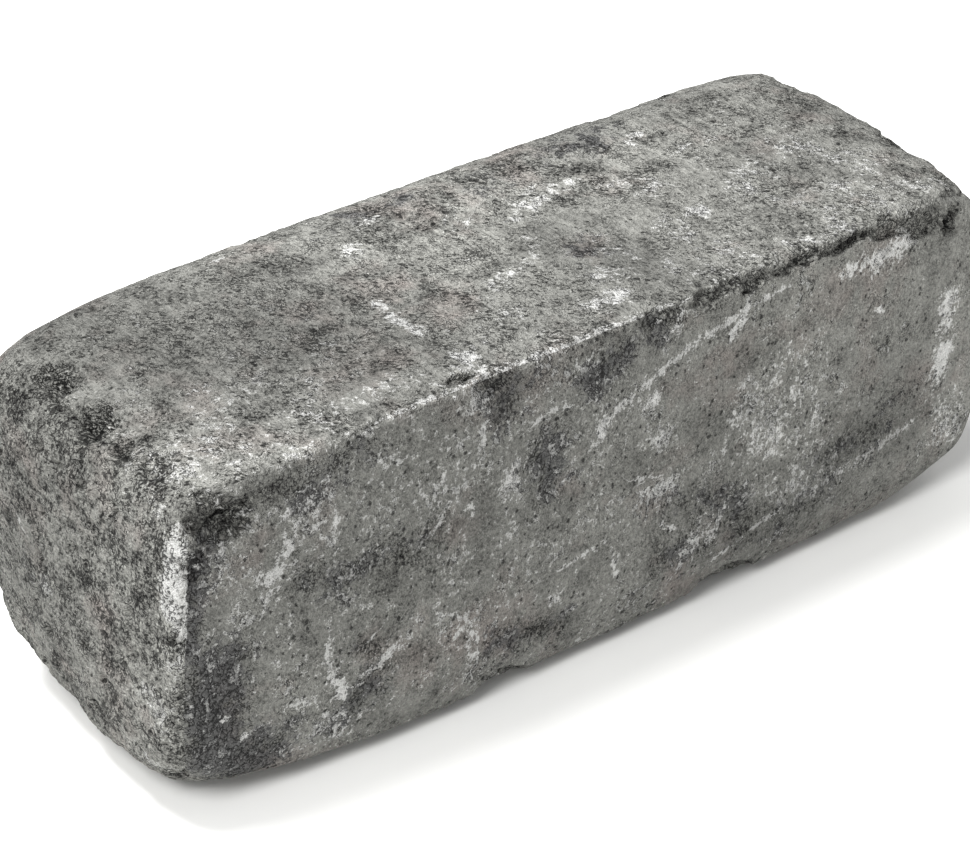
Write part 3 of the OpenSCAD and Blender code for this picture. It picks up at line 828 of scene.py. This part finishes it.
def tumbled_concrete(settings):
    """Tumbled dry-cast concrete.  It is pressed almost dry, which leaves sand grains and pores
    open on the struck top, and a close skin with few pores where it lay against the mould.
    Tumbling rubs pale scuffs on it, and lime blooms white.  Shade is painted into the pores,
    crevices and breaks, light onto the lumps in the breaks and along the top's front arris, and
    the top and the ends are painted lighter than the face."""
    material = bpy.data.materials.new("tumbled dry-cast concrete")
    material.use_nodes = True
    tree = material.node_tree
    tree.nodes.clear()

    def colour(name):
        return [*getattr(settings, name), 1]

    mix = {"data_type": "RGBA"}
    multiply = {"data_type": "RGBA", "blend_type": "MULTIPLY", 0: 1.0}
    smooth = {"interpolation_type": "SMOOTHSTEP"}
    times, less = {"operation": "MULTIPLY"}, {"operation": "SUBTRACT"}
    most, size = {"operation": "MAXIMUM"}, {"operation": "ABSOLUTE"}
    # The first value times the second, plus the third
    weigh = {"operation": "MULTIPLY_ADD"}
    aslant = {"vector_type": "TEXTURE", "Rotation": (0, 0, math.radians(-40))}
    matt = {"Roughness": 0.9, "IOR": 1.5, "Specular IOR Level": 0.2}
    at_mm = {"Vector": "mm"}
    rows = [
        # Places in mm.  The pores and crevices are drawn out, up the ends and aslant on the top.
        ("place", "TexCoord", {}, {}),
        ("mm", "Mapping", {"Scale": (1 / MM,) * 3}, {"Vector": "place.Object"}),
        ("drawn_out", "Mapping", {**aslant, "Scale": (1.5, 0.85, 1.3)}, at_mm),
        ("struck", "Mapping", {"Scale": (0.9, 0.09, 0.9)}, at_mm),
        *((name, "Attribute", {"attribute_name": name}, {}) for name in VALUE_NAMES),
        # Mottling at every size from 15 mm down to 0.5 mm, about its own mean
        ("mottle", "TexNoise", {"Scale": 0.068, "Detail": 5, "Roughness": 0.85}, at_mm),
        ("mottling", "Math", {**less, 1: 0.5}, {0: "mottle"}),
        # Breaks with ragged rims
        ("break_sum", "Math", {**weigh, 1: 3}, {0: "mottling", 2: "broken.Fac"}),
        ("break", "MapRange", {**smooth, 1: 0.15, 2: 0.4}, {0: "break_sum"}),
        ("rough", "Math", most, {0: "open.Fac", 1: "break"}),
        # Grit, which comes in clusters
        ("cluster", "TexNoise", {"Scale": 0.11, "Detail": 3, "Roughness": 0.8}, at_mm),
        ("cluster_more", "Math", {**weigh, 1: 4, 2: -1.55}, {0: "cluster"}),
        ("grit_sum", "Math", {**weigh, 1: 0.5}, {0: "rough", 2: "cluster_more"}),
        ("grit", "Math", {**most, 1: 0.05}, {0: "grit_sum"}),
        ("clouds", "TexNoise", {"Scale": 0.035, "Detail": 3, "Roughness": 0.7}, at_mm),
        # Specks of 0.7 mm.  The real ones are half that, too fine to show.
        ("speck", "TexNoise", {"Scale": 1.4, "Detail": 2, "Roughness": 1}, at_mm),
        ("specks", "Math", {**less, 1: 0.5}, {0: "speck"}),
        # Streaks drawn across the top as it was struck off
        ("streak", "TexNoise", {"Scale": 1, "Detail": 2, "Roughness": 0.6}, {"Vector": "struck"}),
        ("streaks", "Math", {**less, 1: 0.5}, {0: "streak"}),
        # Sand grains of 1 mm and finer, with dark joints
        ("sand", "TexVoronoi", {"Scale": 1, "Detail": 1, "Roughness": 0.8}, at_mm),
        ("grains", "Math", {**less, 0: 0.95}, {1: "sand"}),
        # Pores of up to 1 mm in some of the 2 mm cells, their outlines pulled about by the specks
        ("pulled", "VectorMath", {**weigh, 1: (1.5, 1.5, 1.5)}, {0: "speck.Color", 2: "drawn_out"}),
        ("pore_cell", "TexVoronoi", {"Scale": 0.5}, {"Vector": "pulled"}),
        ("pore_random", "SeparateColor", {}, {0: "pore_cell.Color"}),
        ("pore_many", "Math", {**weigh, 1: 0.43, 2: -0.3}, {0: "grit"}),
        ("pore_size", "Math", {"operation": "ADD"}, {0: "pore_random", 1: "pore_many"}),
        ("pore_rim", "Math", {**times, 1: 0.3}, {0: "pore_size"}),
        ("pore_in", "Math", less, {0: "pore_rim", 1: "pore_cell"}),
        ("pore", "MapRange", {**smooth, 1: 0, 2: 0.04}, {0: "pore_in"}),
        # Crevices of 0.3 mm between clods of paste, in clusters
        ("clod", "TexNoise", {"Scale": 0.55, "Detail": 2, "Roughness": 0.65}, {"Vector": "drawn_out"}),
        ("clod_off", "Math", {**less, 1: 0.5}, {0: "clod"}),
        ("clod_edge", "Math", size, {0: "clod_off"}),
        ("clusters", "MapRange", {1: 0.42, 2: 0.7, 4: 0.07}, {0: "cluster"}),
        ("stain_crevices", "Math", {**times, "use_clamp": True, 1: 0.03}, {0: "stain.Fac"}),
        ("more_crevices", "Math", {**weigh, 1: 0.025}, {0: "break", 2: "stain_crevices"}),
        ("crevice_rim", "Math", weigh, {0: "clusters", 1: "rough", 2: "more_crevices"}),
        ("crevice", "MapRange", {**smooth, 2: 0, 4: 1.5}, {0: "clod_edge", 1: "crevice_rim"}),
        ("holes", "Math", {**most, "use_clamp": True}, {0: "pore", 1: "crevice"}),
        # Brown blush in the paste
        ("blush", "MapRange", {1: 0.52, 2: 0.7, 4: 0.7}, {0: "clouds.Color"}),
        ("paste", "Mix", {**mix, 6: colour("paste"), 7: colour("blush")}, {0: "blush"}),
        # Dark stains with soft, speckled edges
        ("stain_sum", "Math", {**weigh, 1: 7}, {0: "mottling", 2: "stain.Fac"}),
        ("stain_part", "MapRange", {**smooth, 1: 0.1, 2: 1.1, 4: 0.75}, {0: "stain_sum"}),
        ("stained", "Mix", {**mix, 7: colour("stain")}, {0: "stain_part", 6: "paste.2"}),
        # Pale bloom with crumbled edges, and flecks of it
        ("fleck", "MapRange", {**smooth, 1: 0.64, 2: 0.76, 4: 0.45}, {0: "streak.Color"}),
        ("bloom_sum", "Math", {**weigh, 1: 6}, {0: "mottling", 2: "bloom.Fac"}),
        ("crumble", "Math", {**weigh, 1: 0.7}, {0: "specks", 2: "clod_off"}),
        ("crumble_weight", "Math", {**weigh, 1: -2.2, 2: 4.6}, {0: "open.Fac"}),
        ("bloom_grain", "Math", weigh, {0: "crumble", 1: "crumble_weight", 2: "bloom_sum"}),
        ("bloom_part", "MapRange", {1: 0.4, 2: 1.1}, {0: "bloom_grain"}),
        # Scratches, which break up in streaks that run along them, and the painted highlight along
        # the top's front arris, which is drawn as one of them
        ("along", "Mapping", {"Scale": (0.4, 0.9, 0)}, {"Vector": "scratch.Vector"}),
        ("scrape", "TexNoise", {"Scale": 1, "Detail": 3, "Roughness": 0.7}, {"Vector": "along"}),
        ("run", "SeparateXYZ", {}, {0: "scratch.Vector"}),
        ("off", "Math", size, {0: "run.Y"}),
        ("scrape_sum", "Math", {**weigh, 1: 4}, {0: "scrape", 2: "run.Z"}),
        ("scratch_sum", "Math", less, {0: "scrape_sum", 1: "off"}),
        ("scratch_grain", "Math", {**weigh, 1: 6.5}, {0: "crumble", 2: "scratch_sum"}),
        ("scratch_part", "MapRange", {**smooth, 1: 2, 2: 2.9, 4: 0.85}, {0: "scratch_grain"}),
        ("marks", "Math", most, {0: "bloom_part", 1: "scratch_part"}),
        ("pale_part", "Math", most, {0: "marks", 1: "fleck"}),
        # Pale colour of bloom, scuffs and flecks, and of the painted highlight along the top's front
        # arris
        ("rubbed", "Mix", {**mix, 7: colour("bloom")}, {0: "pale_part", 6: "stained.2"}),
        # Light and dark: mottling, specks, streaks and grains; painted shade in the pores and
        # crevices; and breaks, which are darker, partly as fresh breaks and partly as painted shade in
        # the hollows, with their lumps painted lighter than their clefts
        ("mottle_weight", "Math", {**weigh, 1: 1.6, 2: 2.4}, {0: "rough"}),
        ("shade_mottle", "Math", {**weigh, 2: 1}, {0: "mottling", 1: "mottle_weight"}),
        ("speck_weight", "Math", {**weigh, 1: 1.4, 2: 0.7}, {0: "grit"}),
        ("shade_speck", "Math", weigh, {0: "specks", 1: "speck_weight", 2: "shade_mottle"}),
        ("shade_streak", "Math", {**weigh, 1: 1}, {0: "streaks", 2: "shade_speck"}),
        ("grain_weight", "Math", {**weigh, 1: 0.75, 2: 0.05}, {0: "grit"}),
        ("shade_grain", "Math", weigh, {0: "grains", 1: "grain_weight", 2: "shade_streak"}),
        ("shade_gap", "Math", {**less, 0: 1}, {1: "shade_grain"}),
        ("calm", "Math", {**times, 1: 0.8}, {0: "marks"}),
        ("shade_calm", "Math", weigh, {0: "shade_gap", 1: "calm", 2: "shade_grain"}),
        # Painted shade: the pores and crevices darkened, for the shadow that the bump doesn't cast
        ("pore_shade", "Math", {**weigh, 1: -0.8, 2: 1}, {0: "holes"}),
        ("shade_pore", "Math", times, {0: "shade_calm", 1: "pore_shade"}),
        # Breaks: partly the darker colour of fresh breaks, and partly painted shade, deeper ones
        # darker, with painted light on the lumps away from the clefts and painted shade in the clefts
        ("clod_light", "Math", {**weigh, 1: 9, 2: -0.85}, {0: "clod_edge"}),
        ("broken_shade", "Math", {**weigh, 2: 1.1}, {0: "broken.Fac", 1: "clod_light"}),
        ("shade_broken", "Math", times, {0: "shade_pore", 1: "broken_shade"}),
        # Lightness by side, at random and in broad parts; by side it is partly painted light, the top
        # and the ends lighter than the face
        ("shade", "Math", times, {0: "shade_broken", 1: "tone.Fac"}),
        ("shade_colour", "CombineColor", {}, {0: "shade", 1: "shade", 2: "shade"}),
        ("colour", "Mix", multiply, {6: "rubbed.2", 7: "shade_colour"}),
        # Height of the grains, the specks and the mottling over the pores, in mm
        ("grain_height", "Math", {**weigh, 1: -0.35, 2: -0.1}, {0: "grit"}),
        ("grain_relief", "Math", times, {0: "sand", 1: "grain_height"}),
        ("speck_height", "Math", {**weigh, 1: 0.7, 2: 0.3}, {0: "grit"}),
        ("speck_relief", "Math", weigh, {0: "speck", 1: "speck_height", 2: "grain_relief"}),
        ("mottle_relief", "Math", {**weigh, 1: 3.5}, {0: "mottle", 2: "speck_relief"}),
        ("hole_relief", "Math", {**weigh, 1: -0.5}, {0: "holes", 2: "mottle_relief"}),
        ("clod_height", "Math", {**times, 1: 12}, {0: "break"}),
        ("relief", "Math", weigh, {0: "clod_edge", 1: "clod_height", 2: "hole_relief"}),
        ("bump", "Bump", {"Strength": 1, "Distance": MM}, {"Height": "relief"}),
        ("skin", "BsdfPrincipled", matt, {"Base Color": "colour.2", "Normal": "bump"}),
        ("output", "OutputMaterial", {}, {"Surface": "skin"}),
    ]
    for row in rows:
        node(tree, *row)
    return material


def studio_paper():
    """Matt white background paper."""
    material = bpy.data.materials.new("matt white paper")
    material.use_nodes = True
    shader = material.node_tree.nodes["Principled BSDF"]
    shader.inputs["Base Color"].default_value = [*linear("#f7f7f5"), 1]
    shader.inputs["Roughness"].default_value = 0.95
    return material


# ---- pieces


def surface_object(name, points, faces, values, material):
    """A mesh object from points in metres, faces and values at the points."""
    mesh = bpy.data.meshes.new(name)
    mesh.from_pydata(points.tolist(), [], faces.tolist())
    for label, numbers in values.items():
        kind, field = ("FLOAT", "value") if numbers.ndim == 1 else ("FLOAT_VECTOR", "vector")
        layer = mesh.attributes.new(label, kind, "POINT")
        layer.data.foreach_set(field, numbers.astype(np.float32).ravel())
    mesh.shade_smooth()
    mesh.materials.append(material)
    made = bpy.data.objects.new(name, mesh)
    bpy.context.scene.collection.objects.link(made)
    return made


def length_setting(name, description, default, top):
    """A length in mm that a user can change, from 0 up to its top."""
    return FloatProperty(name=name, description=description, default=default, min=0, max=top)


def angle_setting(name, description, degrees):
    """An angle that a user can change."""
    default = math.radians(degrees)
    return FloatProperty(name=name, description=description, default=default, subtype="ANGLE")


def colour_setting(name, description, default):
    """A colour that a user can change, from an sRGB hex value."""
    return FloatVectorProperty(
        name=name, description=description, default=linear(default), subtype="COLOR", min=0, max=1
    )


class BlockSettings(bpy.types.PropertyGroup):
    """Sizes and colours of the block's skin."""

    cell: FloatProperty(
        name="Grid cell", description="Width of the mesh's cells, in mm", default=1.5, min=1.45, max=6
    )
    crumb_depth: length_setting("Crumb depth", "Depth of the crumbs in open concrete, in mm", 1.1, 2)
    clod_depth: length_setting("Clod depth", "Depth of the clefts in broken places, in mm", 2.4, 4)
    pit_depth: length_setting("Pit depth", "Depth of the pits in open concrete, in mm", 1.2, 2)
    arris_bite_depth: length_setting("Arris bites", "Depth of nicks in the arrises, in mm", 1.4, 4)
    paste: colour_setting("Paste", "Colour of the cement paste and its sand", "#72726e")
    blush: colour_setting("Blush", "Brown tinge in parts of the paste", "#746b67")
    stain: colour_setting("Stain", "Colour of the dark patches", "#3d3d3f")
    # Also the colour of the painted highlight along the top's front arris
    bloom: colour_setting("Bloom", "Colour of lime bloom and rubbed places", "#b2b2b0")


class StageSettings(bpy.types.PropertyGroup):
    """Camera, lights and floor."""

    azimuth: angle_setting("Azimuth", "Turn of the camera from the face to the right end", -42.8)
    elevation: angle_setting("Elevation", "How far the camera looks down", 32.0)
    roll: angle_setting("Roll", "How far the camera leans", 4.0)
    distance: FloatProperty(
        name="Distance", description="From the camera to its aim", default=0.984, unit="LENGTH"
    )
    lens: FloatProperty(name="Lens", description="Focal length, in mm", default=130.0)
    key_power: FloatProperty(
        name="Key power", description="Power of the soft light overhead", default=31, unit="POWER"
    )
    side_power: FloatProperty(
        name="Side power", description="Power of the soft light at the side", default=16, unit="POWER"
    )
    sky: FloatProperty(name="Sky", description="Strength of the even light", default=0.6)


class WALLBLOCK_OT_block(bpy.types.Operator):
    """Build the block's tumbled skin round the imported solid"""

    bl_idname = "wallblock.block"
    bl_label = "Block"

    def execute(self, context):
        points, quads, values = block_skin(context.scene.wall_block)
        material = tumbled_concrete(context.scene.wall_block)
        block = surface_object("concrete_block", (points + MIDDLE) * MM, quads, values, material)
        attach(block, "root")
        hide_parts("block")
        return {"FINISHED"}


# The point that the camera looks at, and the width of its film, in mm
CAMERA_AIM = (-3.8, -1.1, 49.6)
FILM_WIDTH = 36
# Half the floor's width, the places of the two lights, and their width, in m
FLOOR_REACH = 4.0
KEY_PLACE = (-0.5, 0.3, 1.5)
SIDE_PLACE = (-1.0, -0.5, 1.1)
LIGHT_WIDTH = 0.5


class WALLBLOCK_OT_stage(bpy.types.Operator):
    """Set up the floor, the lights and the camera"""

    bl_idname = "wallblock.stage"
    bl_label = "Stage"

    def execute(self, context):
        settings = context.scene.wall_block_stage
        scene = context.scene
        scene.view_settings.view_transform = "Standard"
        world = bpy.data.worlds.new("studio")
        world.use_nodes = True
        background = world.node_tree.nodes["Background"]
        background.inputs["Color"].default_value = (1, 1, 1, 1)
        background.inputs["Strength"].default_value = settings.sky
        scene.world = world

        corners = FLOOR_REACH * np.array([(-1, -1, 0), (1, -1, 0), (1, 1, 0), (-1, 1, 0)])
        floor = surface_object("floor", corners, np.array([[0, 1, 2, 3]]), {}, studio_paper())

        for name, power, place in (
            ("key", settings.key_power, KEY_PLACE),
            ("side", settings.side_power, SIDE_PLACE),
        ):
            light = bpy.data.lights.new(name, "AREA")
            light.shape = "DISK"
            light.size = LIGHT_WIDTH
            light.energy = power
            lamp = bpy.data.objects.new(name, light)
            scene.collection.objects.link(lamp)
            lamp.location = place
            lamp.rotation_euler = Vector(place).to_track_quat("Z", "Y").to_euler()

        camera = bpy.data.objects.new("camera", bpy.data.cameras.new("camera"))
        scene.collection.objects.link(camera)
        camera.data.lens = settings.lens
        camera.data.sensor_width = FILM_WIDTH
        turn = (
            Matrix.Rotation(settings.azimuth, 4, "Z")
            @ Matrix.Rotation(math.pi / 2 - settings.elevation, 4, "X")
            @ Matrix.Rotation(settings.roll, 4, "Z")
        )
        back = turn @ Vector((0, 0, settings.distance))
        camera.matrix_world = Matrix.Translation(Vector(CAMERA_AIM) * MM + back) @ turn
        scene.camera = camera
        return {"FINISHED"}


class WALLBLOCK_PT_panel(bpy.types.Panel):
    """The pieces, with their settings"""

    bl_label = "Wall Block"
    bl_space_type = "VIEW_3D"
    bl_region_type = "UI"
    bl_category = "Wall Block"

    def draw(self, context):
        for operator, settings in (
            (WALLBLOCK_OT_block, context.scene.wall_block),
            (WALLBLOCK_OT_stage, context.scene.wall_block_stage),
        ):
            self.layout.operator(operator.bl_idname)
            for name in settings.__annotations__:
                self.layout.prop(settings, name)


CLASSES = (BlockSettings, StageSettings, WALLBLOCK_OT_block, WALLBLOCK_OT_stage, WALLBLOCK_PT_panel)


def register():
    """Adds the settings, the operators and the panel."""
    for item in CLASSES:
        bpy.utils.register_class(item)
    bpy.types.Scene.wall_block = PointerProperty(type=BlockSettings)
    bpy.types.Scene.wall_block_stage = PointerProperty(type=StageSettings)


def unregister():
    """Takes them out again."""
    del bpy.types.Scene.wall_block
    del bpy.types.Scene.wall_block_stage
    for item in reversed(CLASSES):
        bpy.utils.unregister_class(item)


def main():
    """Builds the block and its stage."""
    register()
    bpy.ops.wallblock.block()
    bpy.ops.wallblock.stage()


if __name__ == "__main__":
    main()
